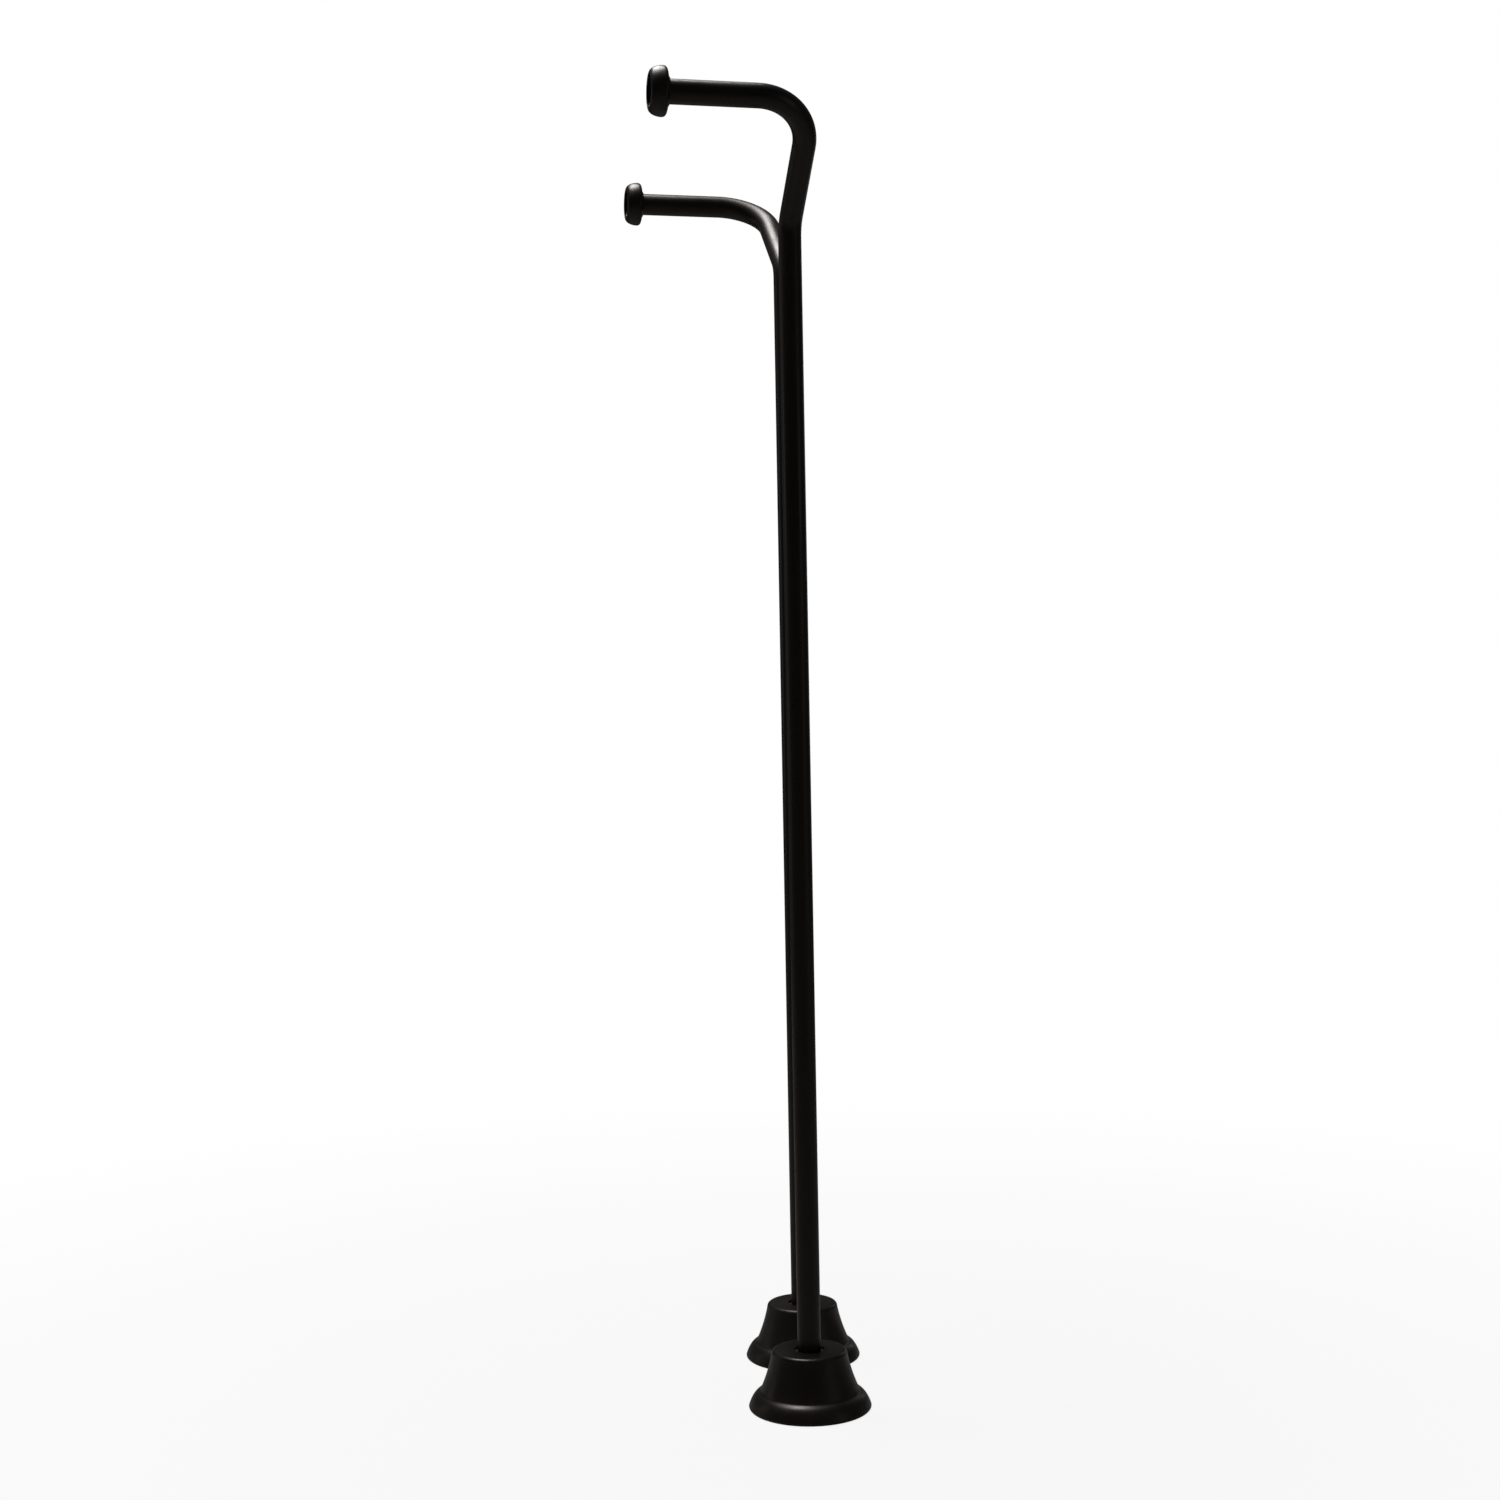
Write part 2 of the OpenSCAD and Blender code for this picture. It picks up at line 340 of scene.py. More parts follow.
def rubberFinish(name):
    material, tree, shader = newFinish(name)
    grain = placeGroup(tree, "fineGrain", sealRubber["grain"])
    hands = placeGroup(tree, "handling", sealRubber["hands"])
    base = mixColour(tree, hands["Patches"], sealRubber["black"], sealRubber["bloom"])
    rough = mixValue(tree, grain["Speckle"], *sealRubber["rough"])
    normal = bump(tree, grain["Height"], sealRubber["grainDepth"], sealRubber["grainStrength"])
    linkSurface(tree, shader, base, rough, normal)
    return material


drawnBlack = satinBlack("satinBlackDrawnTube", marksScale=1300.0, marksStrength=0.10, grainStrength=0.32)
spunBlack = satinBlack("satinBlackSpunFlange", marksScale=1700.0, marksStrength=0.14, grainStrength=0.32)
turnedBlack = satinBlack("satinBlackTurnedNut", marksScale=2100.0, marksStrength=0.16, grainStrength=0.30)
turnedBrass = brassFinish("machinedBrassTurned", marksScale=3600.0, marksStrength=0.45)
blackRubber = rubberFinish("blackRubberSeal")
print("finishes made: satin black, machined brass, rubber")


turned = {
    "sharpAngle": 32.0,    # in degrees; edges that turn by more stay crisp
    "marksAround": 0.05,   # how much the tool marks vary around a turned piece
}


def skinRings(name, rings, marks, sharpAngle=turned["sharpAngle"]):
    # rings of equally many points, joined into one closed skin
    # marks holds the machined coordinate of each point
    around = len(rings[0])
    count = len(rings)
    points = [point for ring in rings for point in ring]
    faces = []
    for i in range(count):
        nextRing = (i + 1) % count
        for j in range(around):
            k = (j + 1) % around
            faces.append((i * around + j, i * around + k, nextRing * around + k, nextRing * around + j))
    mesh = bpy.data.meshes.new(name)
    mesh.from_pydata(points, [], faces)
    layer = mesh.attributes.new("machined", "FLOAT_VECTOR", "POINT")
    layer.data.foreach_set("vector", [c for ring in marks for mark in ring for c in mark])
    mesh.shade_smooth()
    mesh.set_sharp_from_angle(angle=math.radians(sharpAngle))
    mesh.validate()
    piece = bpy.data.objects.new(name, mesh)
    scene.collection.objects.link(piece)
    return piece


def turnPiece(name, outlineAt, place, around, sharpAngle=turned["sharpAngle"]):
    # a turned piece about the local Z axis; outlineAt(angle) gives its closed outline of (radius, height)
    ringCount = len(outlineAt(0.0))
    rings = [[] for _ in range(ringCount)]
    marks = [[] for _ in range(ringCount)]
    for j in range(around):
        angle = 2 * math.pi * j / around
        c, s = math.cos(angle), math.sin(angle)
        for i, (radius, height) in enumerate(outlineAt(angle)):
            rings[i].append(place @ Vector((radius * c, radius * s, height)))
            marks[i].append((radius, height, turned["marksAround"] * radius * c))
    return skinRings(name, rings, marks, sharpAngle)


def arc(cx, cy, radius, start, end, steps):
    # points from start to end, in degrees
    angles = [math.radians(start + (end - start) * i / steps) for i in range(steps + 1)]
    return [(cx + radius * math.cos(angle), cy + radius * math.sin(angle)) for angle in angles]


def sweepCurve(start, bend, end, steps):
    # a smooth run from start to end, pulled towards bend
    curve = []
    for i in range(steps + 1):
        t = i / steps
        curve.append(tuple(start[k] * (1 - t) ** 2 + 2 * bend[k] * t * (1 - t) + end[k] * t ** 2
                           for k in (0, 1)))
    return curve


def rounded(corners, steps=4, mostOfSide=0.49):
    # a closed outline whose corners are (r, z) or (r, z, fillet)
    count = len(corners)
    outline = []
    for i, corner in enumerate(corners):
        here = Vector(corner[:2])
        fillet = corner[2] if len(corner) > 2 else 0.0
        before = Vector(corners[i - 1][:2]) - here
        after = Vector(corners[(i + 1) % count][:2]) - here
        if fillet <= 0:
            outline.append(tuple(here))
            continue
        half = before.angle(after) / 2
        back = min(fillet / math.tan(half), mostOfSide * before.length, mostOfSide * after.length)
        first, last = here + before.normalized() * back, here + after.normalized() * back
        for j in range(steps + 1):
            t = j / steps
            outline.append(tuple(first * (1 - t) ** 2 + here * 2 * t * (1 - t) + last * t ** 2))
    return outline


threadForm = {
    "runOut": 0.6,         # turns over which a thread fades in, and out
    "steepness": 1.25,     # above 1 leaves a flat at the bottom of the cut
    "rowsPerTurn": 12,
}


def threadRows(low, high, pitch):
    rows = int(math.ceil((high - low) / pitch * threadForm["rowsPerTurn"]))
    return [low + (high - low) * i / rows for i in range(rows + 1)]


def threadCut(height, angle, low, high, pitch, depth):
    # depth of a V thread at this height and angle, running out at both ends
    if height <= low or height >= high:
        return 0.0
    fade = threadForm["runOut"] * pitch
    runOut = min(1.0, (height - low) / fade, (high - height) / fade)
    phase = (height / pitch - angle / (2 * math.pi)) % 1.0
    return depth * runOut * min(1.0, threadForm["steepness"] * (1 - abs(2 * phase - 1)))


def threadWall(radius, rows, angle, pitch, depth):
    # a threaded wall from low to high; the depth is negative for a thread on the outside
    return [(radius + threadCut(z, angle, rows[0], rows[-1], pitch, depth), z) for z in rows]


hexagon = {
    "corner": 0.985,       # the corners are just broken
    "chamferFrom": 0.97,   # where the chamfer starts, as a share of the flats' radius
    "chamfer": 30,
}


def hexSection(flatRadius, angle):
    # at this angle: where the chamfer starts, the hexagon's side, and how far the chamfer drops
    nearest = (angle + math.radians(30)) % math.radians(60) - math.radians(30)
    edge = min(flatRadius / math.cos(nearest), hexagon["corner"] * flatRadius / math.cos(math.radians(30)))
    rim = hexagon["chamferFrom"] * flatRadius
    return rim, edge, (edge - rim) * math.tan(math.radians(hexagon["chamfer"]))


def finishPiece(piece, material, body, slotName, *nodes):
    piece.data.materials.append(material)
    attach(piece, body)
    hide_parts(*nodes)


riserTube = {
    "wall": 1.2 * mm,
    "leanAngle": 50,
    "lowerBendRadius": 18 * mm,
    "upperBendRadius": 36 * mm,
    "endBreak": 0.25 * mm,
    "around": 96,
    "straightStep": 12 * mm,
    "bendStep": 2.5,       # degrees
    "marksAlong": 0.03,    # how much the drawing marks vary along the tube
}


def tubeRoute(line):
    # steps along the centre line: (point, side, up, distance), where side and up span the cross-section
    lean = math.radians(riserTube["leanAngle"])
    lower, upper = riserTube["lowerBendRadius"], riserTube["upperBendRadius"]
    reach = abs(line["armX"] - line["riser"].x) / math.sin(lean)
    tangent = lower * math.tan(lean / 2)
    cornerZ = line["armZ"] - reach * math.cos(lean)
    outward, armward = Vector((line["out"], 0, 0)), Vector((0, 1, 0))
    rightAngle = 90
    point = line["riser"] + Vector((0, 0, line["tubeFoot"]))
    side, up, heading = outward.copy(), armward.copy(), Vector((0, 0, 1))
    steps = [(point.copy(), side.copy(), up.copy(), 0.0)]
    gone = 0.0

    def goStraight(length):
        nonlocal point, gone
        count = max(1, round(length / riserTube["straightStep"]))
        for _ in range(count):
            point = point + heading * (length / count)
            gone += length / count
            steps.append((point.copy(), side.copy(), up.copy(), gone))

    def goRound(radius, angle, towards):
        nonlocal point, gone, side, up, heading
        count = max(2, round(angle / riserTube["bendStep"]))
        axis = heading.cross(towards)
        centre = point + towards * radius
        turn = Matrix.Rotation(math.radians(angle) / count, 3, axis)
        for _ in range(count):
            point = centre + turn @ (point - centre)
            side, up, heading = turn @ side, turn @ up, turn @ heading
            gone += radius * math.radians(angle) / count
            steps.append((point.copy(), side.copy(), up.copy(), gone))

    goStraight(cornerZ - tangent - line["tubeFoot"])
    goRound(lower, riserTube["leanAngle"], outward)
    goStraight(reach - tangent - upper)
    goRound(upper, rightAngle, armward)
    goStraight(line["tubeEnd"] - point.y)
    return steps


def bentTube(line):
    route = tubeRoute(line)
    outer = line["tubeRadius"]
    inner = outer - riserTube["wall"]
    broken = riserTube["endBreak"]
    along = Vector((0, 0, 1))
    armward = Vector((0, 1, 0))

    def stretch(radius):
        # the whole length at one radius, with both ends' edges broken
        sign = -1 if radius == outer else 1
        first, last = route[0], route[-1]
        rows = [(first, radius + sign * broken, along * 0), (first, radius, along * broken)]
        rows += [(step, radius, along * 0) for step in route[1:-1]]
        rows += [(last, radius, -armward * broken), (last, radius + sign * broken, armward * 0)]
        return rows

    rings, marks = [], []
    for (point, side, up, gone), radius, shift in stretch(outer) + stretch(inner)[::-1]:
        ring, mark = [], []
        for j in range(riserTube["around"]):
            angle = 2 * math.pi * j / riserTube["around"]
            c, s = math.cos(angle), math.sin(angle)
            ring.append(point + shift + (side * c + up * s) * radius)
            mark.append((radius * c, radius * s, riserTube["marksAlong"] * gone))
        rings.append(ring)
        marks.append(mark)
    piece = skinRings(line["side"] + "RiserTube", rings, marks)
    if line["out"] < 0:
        piece.data.flip_normals()
    finishPiece(piece, drawnBlack, "supply_pair", "satin_black_metal", line["side"] + "_riser_tube")


floorFlange = {
    "wall": 1.6 * mm,
    "topRadius": 26 * mm,
    "topEdge": 3 * mm,
    "topArc": (12, 90, 12),         # from and to in degrees, and steps
    "skirtRadius": 34 * mm,
    "skirtHeight": 11.5 * mm,
    "crease": 0.8 * mm,
    "wallSag": 0.7 * mm,            # how far the wall curves in above the skirt
    "fullness": 0.66,               # 0.5 is a straight skirt, 1 a square shoulder
    "shoulderLift": 1.2,            # raises the shoulder, in lip edges
    "lipEdge": 1.8 * mm,
    "lipArc": (-60, -10, 8),
    "curveSteps": (18, 16, 14),     # of the skirt, the wall and the skirt's inside
    "insideShoulder": (1.6, 1.3),   # how far the inside keeps from the shoulder, in walls
    "insideFoot": 2,                # and from the lip
    "boreGap": 2.4 * mm,
    "hubLip": 1.8 * mm,
    "hubWall": 2 * mm,
    "ringThickness": 3 * mm,
    "edge": 0.3 * mm,
    "around": 160,
}


def bellFlange(line):
    side = line["side"]
    wall, edge, crease = floorFlange["wall"], floorFlange["edge"], floorFlange["crease"]
    topRadius, topEdge = floorFlange["topRadius"], floorFlange["topEdge"]
    skirtRadius, skirtHeight = floorFlange["skirtRadius"], floorFlange["skirtHeight"]
    lipEdge, sag, fullness = floorFlange["lipEdge"], floorFlange["wallSag"], floorFlange["fullness"]
    skirtSteps, wallSteps, insideSteps = floorFlange["curveSteps"]
    insideOut, insideDown = floorFlange["insideShoulder"]
    low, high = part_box(side + "_floor_flange")
    lipRadius, height = (high.x - low.x) / 2, high.z - low.z
    bore = line["tubeRadius"] + floorFlange["boreGap"]
    grooveRadius = line["tubeRadius"] + runGap + floorFlange["ringThickness"]
    grooveTop = height - floorFlange["hubLip"]
    grooveBottom = grooveTop - floorFlange["ringThickness"] - 2 * runGap
    hubBottom = grooveBottom - floorFlange["hubLip"]
    hubRadius = grooveRadius + floorFlange["hubWall"]
    creaseTop = (skirtRadius, skirtHeight + crease)
    wallTop = (topRadius, height - topEdge)
    wallBend = ((creaseTop[0] + wallTop[0]) / 2 - 2 * sag, (creaseTop[1] + wallTop[1]) / 2 - sag)
    lipTop = (lipRadius, lipEdge)
    shoulder = (skirtRadius + fullness * (lipRadius - skirtRadius),
                skirtHeight * fullness + floorFlange["shoulderLift"] * lipEdge)
    outside = (
        [(lipRadius - lipEdge, 0, edge)]
        + arc(lipRadius - lipEdge, lipEdge, lipEdge, *floorFlange["lipArc"])
        + sweepCurve(lipTop, shoulder, (skirtRadius + crease, skirtHeight), skirtSteps)
        + sweepCurve(creaseTop, wallBend, wallTop, wallSteps)
        + arc(topRadius - topEdge, height - topEdge, topEdge, *floorFlange["topArc"])
    )
    hub = [
        (bore, height, edge),
        (bore, grooveTop, edge / 2),
        (grooveRadius, grooveTop, edge),
        (grooveRadius, grooveBottom, edge),
        (bore, grooveBottom, edge / 2),
        (bore, hubBottom, edge),
        (hubRadius, hubBottom, edge),
    ]
    inside = [
        (hubRadius, height - wall, edge),
        (topRadius - wall - topEdge / 2, height - wall, edge),
        (topRadius - wall, height - wall - topEdge, edge),
        (skirtRadius - wall, skirtHeight, edge),
    ] + sweepCurve((skirtRadius - wall, skirtHeight - wall),
                   (shoulder[0] - insideOut * wall, shoulder[1] - insideDown * wall),
                   (lipRadius - floorFlange["insideFoot"] * wall, 0), insideSteps)[1:]
    outline = rounded(outside + hub + inside)
    piece = turnPiece(side + "FloorFlange", lambda angle: outline, onRiser(line), floorFlange["around"])
    finishPiece(piece, spunBlack, side + "_flange", "satin_black_metal", side + "_floor_flange")


flangeRing = {
    "sectionPoints": 48,
    "around": 96,
    "sharpAngle": 180,     # smooth all over
}


def rubberRing(line):
    side = line["side"]
    low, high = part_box(side + "_flange_ring")
    outer, section = (high.x - low.x) / 2, (high.z - low.z) / 2
    points = flangeRing["sectionPoints"]
    outline = arc(outer - section, (low.z + high.z) / 2, section, 0, 360 - 360 / points, points - 1)
    piece = turnPiece(side + "FlangeRing", lambda angle: outline, onRiser(line),
                      flangeRing["around"], flangeRing["sharpAngle"])
    finishPiece(piece, blackRubber, side + "_ring", "black_rubber", side + "_flange_ring")


unionNut = {
    "hub": 1.3 * mm,         # width of the low hub where the nut meets the tube
    "hubFoot": 0.1 * mm,
    "hubFlare": 0.2 * mm,
    "hubRise": 1.5 * mm,
    "hubBend": 0.8,          # share of the rise at which the hub turns outwards
    "backSteps": (8, 10),    # of the hub's rise and of the turn into the dome
    "widestAt": 4.4 * mm,
    "domeStep": 5,           # degrees
    "shoulder": 3.2 * mm,
    "mouthWall": 1.2 * mm,
    "mouthBevel": 0.5 * mm,
    "unionWall": 6 * mm,
    "relief": 0.4 * mm,
    "reliefEnd": 7.7 * mm,
    "pitch": 1.814 * mm,
    "threadDepth": 0.75 * mm,
    "edge": 0.25 * mm,
    "around": 128,
}


def domedNut(line):
    side = line["side"]
    low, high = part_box(side + "_union_nut")
    widest, length = (high.x - low.x) / 2, high.y - low.y
    widestAt, rise, edge = unionNut["widestAt"], unionNut["hubRise"], unionNut["edge"]
    shoulder, relief, reliefEnd = unionNut["shoulder"], unionNut["relief"], unionNut["reliefEnd"]
    bevel, domeStep = unionNut["mouthBevel"], unionNut["domeStep"]
    riseSteps, turnSteps = unionNut["backSteps"]
    bore = widest - unionNut["unionWall"]
    mouth = bore + unionNut["mouthWall"]
    back = line["tubeRadius"] + runGap
    hub = back + unionNut["hub"]
    rim = (hub + widest) / 2
    dome = [(mouth + (widest - mouth) * math.cos(math.radians(angle)),
             widestAt + (length - widestAt) * math.sin(math.radians(angle)))
            for angle in range(0, 90, domeStep)]
    body = (
        [(back, 0, edge), (hub, 0, edge)]
        + sweepCurve((hub, unionNut["hubFoot"]), (hub + unionNut["hubFlare"], rise * unionNut["hubBend"]),
                     (rim, rise), riseSteps)
        + sweepCurve((rim, rise), (widest, rise), dome[0], turnSteps)[1:-1]
        + dome
        + [(mouth, length, edge), (bore + bevel, length, edge / 2)]
    )
    rows = threadRows(reliefEnd, length - bevel, unionNut["pitch"])
    cavity = [(bore + relief, reliefEnd), (bore + relief, shoulder, edge), (back, shoulder, edge / 2)]
    start, end = rounded(body), rounded([(bore, reliefEnd)] + cavity + [(back, 0)])[1:-1]

    def outlineAt(angle):
        return start + threadWall(bore, rows, angle, unionNut["pitch"], unionNut["threadDepth"])[::-1] + end

    piece = turnPiece(side + "UnionNut", outlineAt, onArm(line, low.y), unionNut["around"])
    finishPiece(piece, turnedBlack, side + "_union", "satin_black_metal", side + "_union_nut")


def sleeve(line, node, sizes, inner, material, slotName, pieceName):
    # a plain ring on the arm with its four edges rounded
    low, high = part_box(node)
    outer, length = (high.x - low.x) / 2, high.y - low.y
    corners = ((inner, 0), (outer, 0), (outer, length), (inner, length))
    outline = rounded([(*corner, sizes["fillet"]) for corner in corners])
    piece = turnPiece(pieceName, lambda angle: outline, onArm(line, low.y), sizes["around"])
    finishPiece(piece, material, "supply_pair", slotName, node)


tubeCollar = {
    "fillet": 0.3 * mm,
    "around": 96,
}


def brazedCollar(line):
    side = line["side"]
    sleeve(line, side + "_tube_collar", tubeCollar, line["tubeRadius"], turnedBrass, "bare_brass",
           side + "TubeCollar")


nutWasher = {
    "fillet": 0.35 * mm,
    "around": 96,
}


def rubberWasher(line):
    side = line["side"]
    sleeve(line, side + "_nut_washer", nutWasher, line["tubeRadius"] - riserTube["wall"], blackRubber,
           "black_rubber", side + "NutWasher")


glandThread = {   # shared by the adapter and its nut
    "wall": 2.3 * mm,      # from the tube's clearance to the outside of the thread
    "pitch": 1.4 * mm,
    "depth": 0.6 * mm,
}

ferrule = {
    "wall": 1.4 * mm,
    "band": (0.25, 0.75),  # where the straight middle begins and ends, as shares of the height
    "edge": 0.25 * mm,
    "bandEdge": 0.5 * mm,
    "around": 96,
}

floorAdapter = {
    "footHeight": 8 * mm,
    "socketDepth": 7.5 * mm,
    "neckBreak": 0.3 * mm,
    "tipBreak": 0.4 * mm,
    "threadFrom": 0.6 * mm,      # plain stem below and above the gland thread
    "threadTo": 0.5 * mm,
    "pipeRadius": 9.4 * mm,
    "pipeDepth": 7 * mm,
    "pipePitch": 1.814 * mm,
    "pipeThreadDepth": 0.8 * mm,
    "pipeThreadFrom": 0.6 * mm,  # plain bore below and above the pipe thread
    "pipeThreadTo": 1.2 * mm,
    "pipeMouth": 0.5 * mm,
    "edge": 0.25 * mm,
    "around": 120,
}


def hexFoot(line):
    side = line["side"]
    low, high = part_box(side + "_floor_adapter")
    flat, top = (high.y - low.y) / 2, high.z
    foot, edge, neck = floorAdapter["footHeight"], floorAdapter["edge"], floorAdapter["neckBreak"]
    pipe, pipeDepth = floorAdapter["pipeRadius"], floorAdapter["pipeDepth"]
    slide = line["tubeRadius"] + runGap
    bore = line["tubeRadius"] - riserTube["wall"]
    male = slide + glandThread["wall"]
    mouth = ferrule["wall"] + runGap
    socketFoot = top - floorAdapter["socketDepth"]
    maleRows = threadRows(foot + floorAdapter["threadFrom"], top - floorAdapter["threadTo"],
                          glandThread["pitch"])
    pipeRows = threadRows(floorAdapter["pipeThreadFrom"], pipeDepth - floorAdapter["pipeThreadTo"],
                          floorAdapter["pipePitch"])
    socket = rounded([(slide + mouth, top, edge / 2), (slide, top - mouth, edge),
                      (slide, socketFoot, edge), (bore, socketFoot, edge),
                      (bore, pipeDepth, edge), (pipe, pipeDepth, edge)])

    def outlineAt(angle):
        rim, flank, drop = hexSection(flat, angle)
        outside = [(rim, 0), (flank, drop), (flank, foot - drop), (rim, foot), (male + neck, foot),
                   (male - glandThread["depth"], foot + neck)]
        stem = threadWall(male, maleRows, angle, glandThread["pitch"], -glandThread["depth"])
        tip = [(male - floorAdapter["tipBreak"], top)]
        inside = threadWall(pipe, pipeRows, angle, floorAdapter["pipePitch"],
                            floorAdapter["pipeThreadDepth"])[::-1]
        return outside + stem + tip + socket + inside + [(pipe + floorAdapter["pipeMouth"], 0)]

    piece = turnPiece(side + "FloorAdapter", outlineAt, onRiser(line), floorAdapter["around"])
    finishPiece(piece, turnedBrass, "supply_pair", "bare_brass", side + "_floor_adapter")


compressionNut = {
    "cap": 2.6 * mm,
    "threadFrom": 0.7 * mm,   # plain bore below and above the thread
    "threadTo": 1.5 * mm,
    "mouthBevel": 0.4 * mm,
    "edge": 0.25 * mm,
    "around": 120,
}


def glandNut(line):
    side = line["side"]
    low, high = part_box(side + "_compression_nut")
    flat, height = (high.y - low.y) / 2, high.z - low.z
    edge, bevel = compressionNut["edge"], compressionNut["mouthBevel"]
    slide = line["tubeRadius"] + runGap
    bore = slide + glandThread["wall"] + runGap
    seat = height - compressionNut["cap"]
    rows = threadRows(compressionNut["threadFrom"], seat - compressionNut["threadTo"], glandThread["pitch"])
    cap = rounded([(slide, height, edge), (slide, seat, edge), (bore, seat, edge)])

    def outlineAt(angle):
        rim, flank, drop = hexSection(flat, angle)
        outside = [(bore + bevel, 0), (rim, 0), (flank, drop), (flank, height - drop), (rim, height)]
        return outside + cap + threadWall(bore, rows, angle, glandThread["pitch"], glandThread["depth"])[::-1]

    piece = turnPiece(side + "CompressionNut", outlineAt, onRiser(line, low.z), compressionNut["around"])
    finishPiece(piece, turnedBrass, side + "_gland", "bare_brass", side + "_compression_nut")


def crimpRing(line):
    side = line["side"]
    low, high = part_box(side + "_ferrule")
    outer, height = (high.x - low.x) / 2, high.z - low.z
    edge, bandEdge = ferrule["edge"], ferrule["bandEdge"]
    bandLow, bandHigh = (share * height for share in ferrule["band"])
    inner = line["tubeRadius"] + runGap
    tip = outer - ferrule["wall"] / 2
    outline = rounded([(inner, 0, edge), (tip, 0, edge), (outer, bandLow, bandEdge),
                       (outer, bandHigh, bandEdge), (tip, height, edge), (inner, height, edge)])
    piece = turnPiece(side + "Ferrule", lambda angle: outline, onRiser(line, low.z), ferrule["around"])
    finishPiece(piece, turnedBrass, side + "_ferrule", "bare_brass", side + "_ferrule")


builders = (bentTube, bellFlange, rubberRing, domedNut, brazedCollar, rubberWasher,
            hexFoot, glandNut, crimpRing)
for line in lines:
    for build in builders:
        build(line)
    print(line["side"], "line built")


studio = {
    "floorRadius": 12.0,
    "rimStep": 5,                       # degrees
    "paleFloor": (0.80, 0.79, 0.78),
    "quietFloor": (0.30, 0.29, 0.28),   # what the black metal is given to reflect
    "floorRough": 0.8,
    "toneScale": 9.0,
    "toneDetail": 4.0,
    "toneDrop": 0.97,
    "backdrop": (1.0, 1.0, 1.0),
    "fadeStart": 0.1,
    "fadeEnd": 1.3,
    "nearWhite": 0.86,
    "fill": 0.055,
    "lights": {   # name: (place, aim, size, watts)
        "topSoftbox": ((0.45, 0.32, 2.35), (0, 0, 0.4), (0.9, 0.9), 40),
        "rightStrip": ((-1.5, -1.6, 0.75), (0, 0, 0.35), (0.25, 1.1), 0.8),
        "leftStrip": ((1.1, 1.9, 0.8), (0, 0, 0.35), (0.25, 1.1), 0.9),
        "backStrip": ((1.5, -1.5, 0.9), (0, 0, 0.35), (0.25, 1.1), 0.7),
    },
}


def paleFloor():
    # pale near the object, turning into the even white of the backdrop further out
    radius = studio["floorRadius"]
    angles = [math.radians(angle) for angle in range(0, 360, studio["rimStep"])]
    rim = [(radius * math.cos(angle), radius * math.sin(angle), 0) for angle in angles]
    mesh = bpy.data.meshes.new("paleFloor")
    mesh.from_pydata(rim, [], [tuple(range(len(rim)))])
    floor = bpy.data.objects.new("paleFloor", mesh)
    scene.collection.objects.link(floor)
    material, tree, shader = newFinish("paleFloorPaint")
    place = objectPlace(tree)
    tone = noiseAt(tree, place, studio["toneScale"], studio["toneDetail"])
    away = addNode(tree, "ShaderNodeVectorMath", {0: place}, operation="LENGTH").outputs["Value"]
    far = spread(tree, away, studio["fadeStart"], studio["fadeEnd"])
    fade = mixValue(tree, far, studio["nearWhite"], 1.0)
    seen = addNode(tree, "ShaderNodeLightPath").outputs["Is Camera Ray"]
    mask = mathNode(tree, "MULTIPLY", fade, seen)
    darker = tuple(studio["toneDrop"] * c for c in studio["paleFloor"])
    paint = mixColour(tree, tone, studio["paleFloor"], darker)
    tree.links.new(mixColour(tree, seen, studio["quietFloor"], paint), shader.inputs["Base Color"])
    shader.inputs["Roughness"].default_value = studio["floorRough"]
    glow = addNode(tree, "ShaderNodeEmission", {"Color": (*studio["backdrop"], 1), "Strength": 1.0})
    both = addNode(tree, "ShaderNodeMixShader", {0: mask, 1: shader.outputs[0], 2: glow.outputs[0]})
    tree.links.new(both.outputs[0], tree.nodes["Material Output"].inputs["Surface"])
    mesh.materials.append(material)


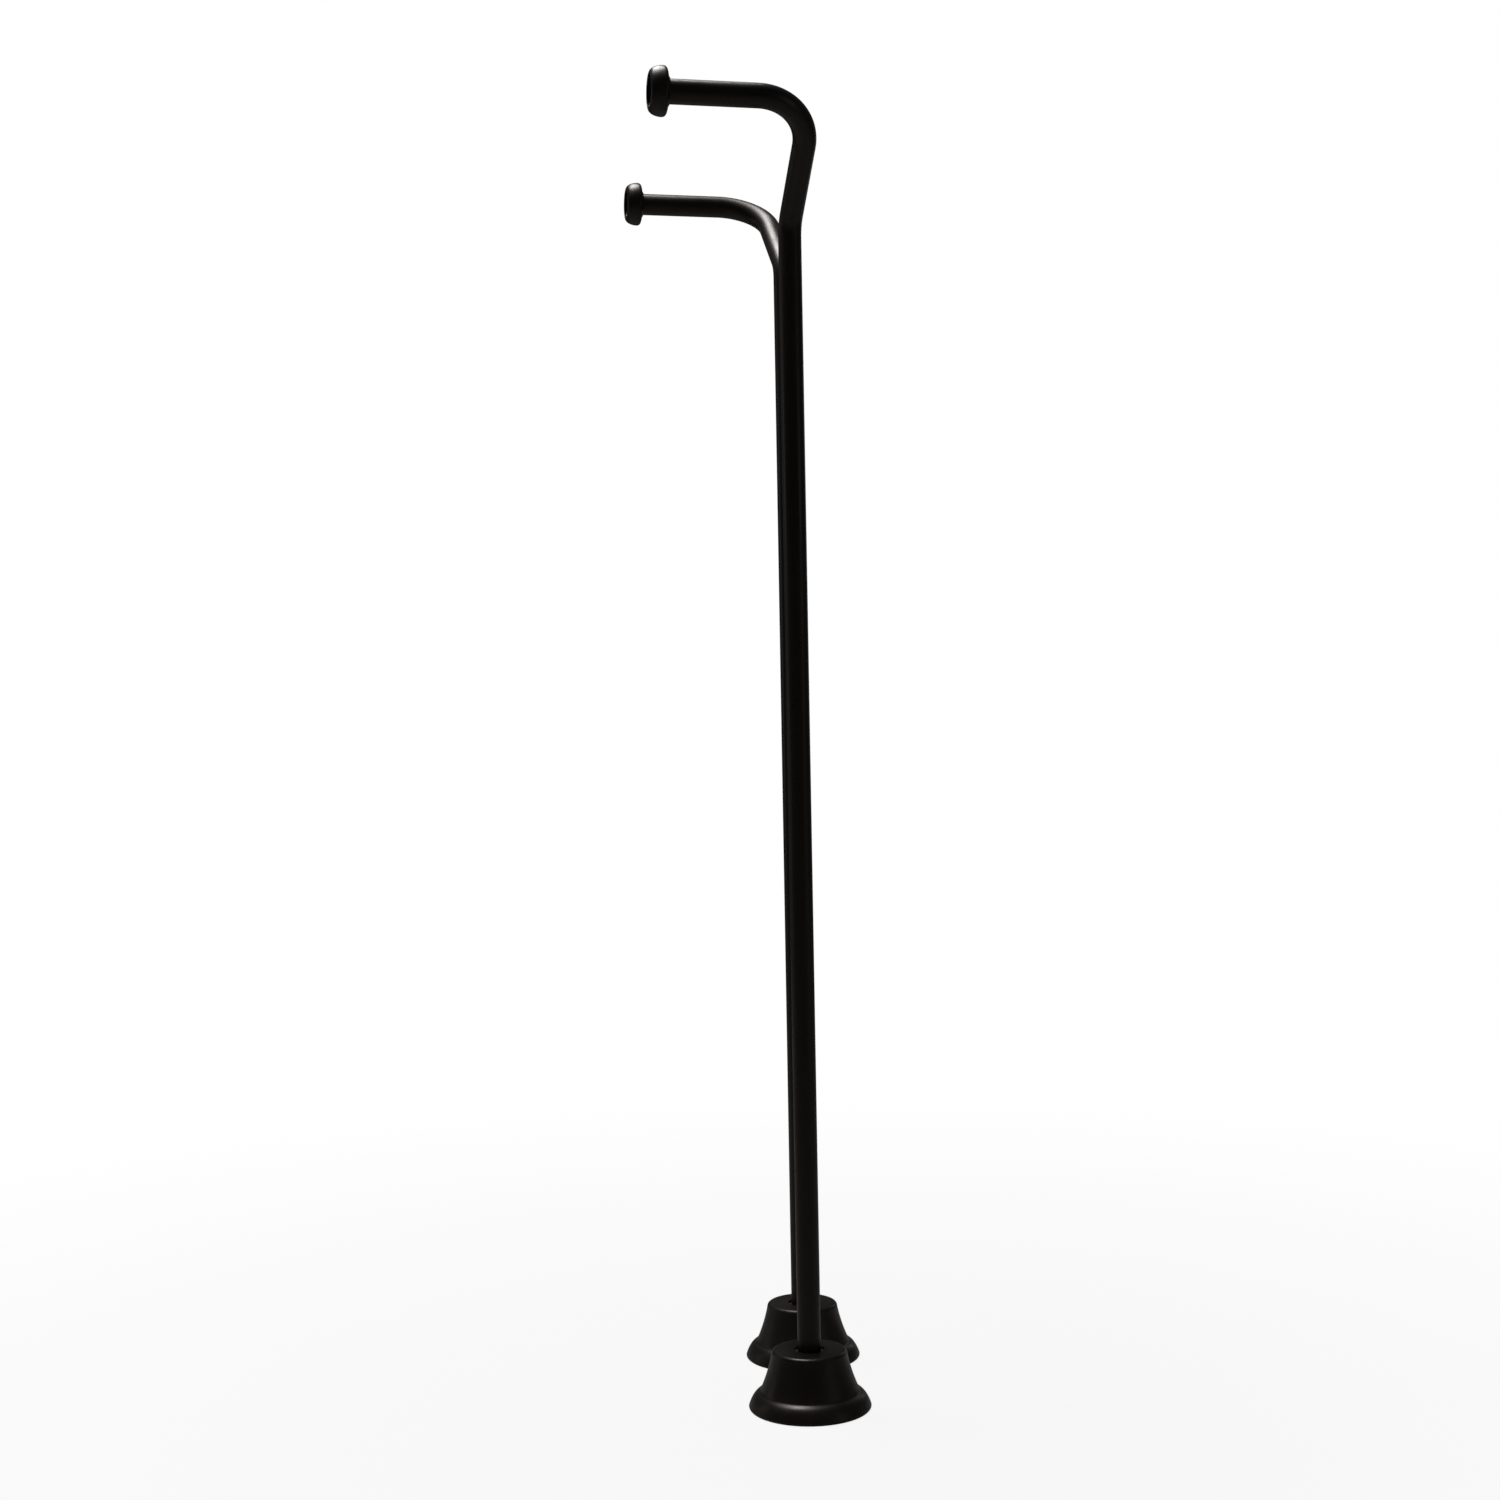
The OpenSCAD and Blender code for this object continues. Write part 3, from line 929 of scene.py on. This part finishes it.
def backdrop():
    # even white to the camera, a quiet fill to everything else
    world = bpy.data.worlds.new("studioBackdrop")
    scene.world = world
    world.use_nodes = True
    tree = world.node_tree
    tree.nodes.clear()
    seen = addNode(tree, "ShaderNodeLightPath").outputs["Is Camera Ray"]
    fill = addNode(tree, "ShaderNodeBackground", {"Color": (1, 1, 1, 1), "Strength": studio["fill"]})
    white = addNode(tree, "ShaderNodeBackground", {"Color": (*studio["backdrop"], 1), "Strength": 1.0})
    both = addNode(tree, "ShaderNodeMixShader", {0: seen, 1: fill.outputs[0], 2: white.outputs[0]})
    result = addNode(tree, "ShaderNodeOutputWorld")
    tree.links.new(both.outputs[0], result.inputs["Surface"])


def softLight(name, place, aim, size, watts):
    light = bpy.data.lights.new(name, "AREA")
    light.shape = "RECTANGLE"
    light.size, light.size_y = size
    light.energy = watts
    lamp = bpy.data.objects.new(name, light)
    scene.collection.objects.link(lamp)
    lamp.location = place
    lamp.rotation_euler = (Vector(aim) - Vector(place)).to_track_quat("-Z", "Y").to_euler()


paleFloor()
backdrop()
for lightName, lightSettings in studio["lights"].items():
    softLight(lightName, *lightSettings)


view = {
    "place": Vector((-1.4096, 0.2783, 0.4510)),
    "yaw": -11.15,    # degrees, from looking along +X
    "pitch": 0.0,
    "roll": -1.01,
    "lens": 48.46,
    "sensor": 36.0,
    "clipStart": 0.01,
}


def addCamera():
    yaw, pitch, roll = (math.radians(view[name]) for name in ("yaw", "pitch", "roll"))
    forward = Vector((math.cos(pitch) * math.cos(yaw), math.cos(pitch) * math.sin(yaw), math.sin(pitch)))
    right = forward.cross(Vector((0, 0, 1))).normalized()
    up = right.cross(forward)
    c, s = math.cos(roll), math.sin(roll)
    rolledRight, rolledUp = right * c + up * s, up * c - right * s
    data = bpy.data.cameras.new("viewCamera")
    data.lens = view["lens"]
    data.sensor_width = view["sensor"]
    data.clip_start = view["clipStart"]
    camera = bpy.data.objects.new("viewCamera", data)
    scene.collection.objects.link(camera)
    axes = Matrix((rolledRight, rolledUp, -forward)).transposed().to_4x4()
    camera.matrix_world = Matrix.Translation(view["place"]) @ axes
    scene.camera = camera


addCamera()
scene.view_settings.view_transform = "Standard"
print("floor, lights and camera set")
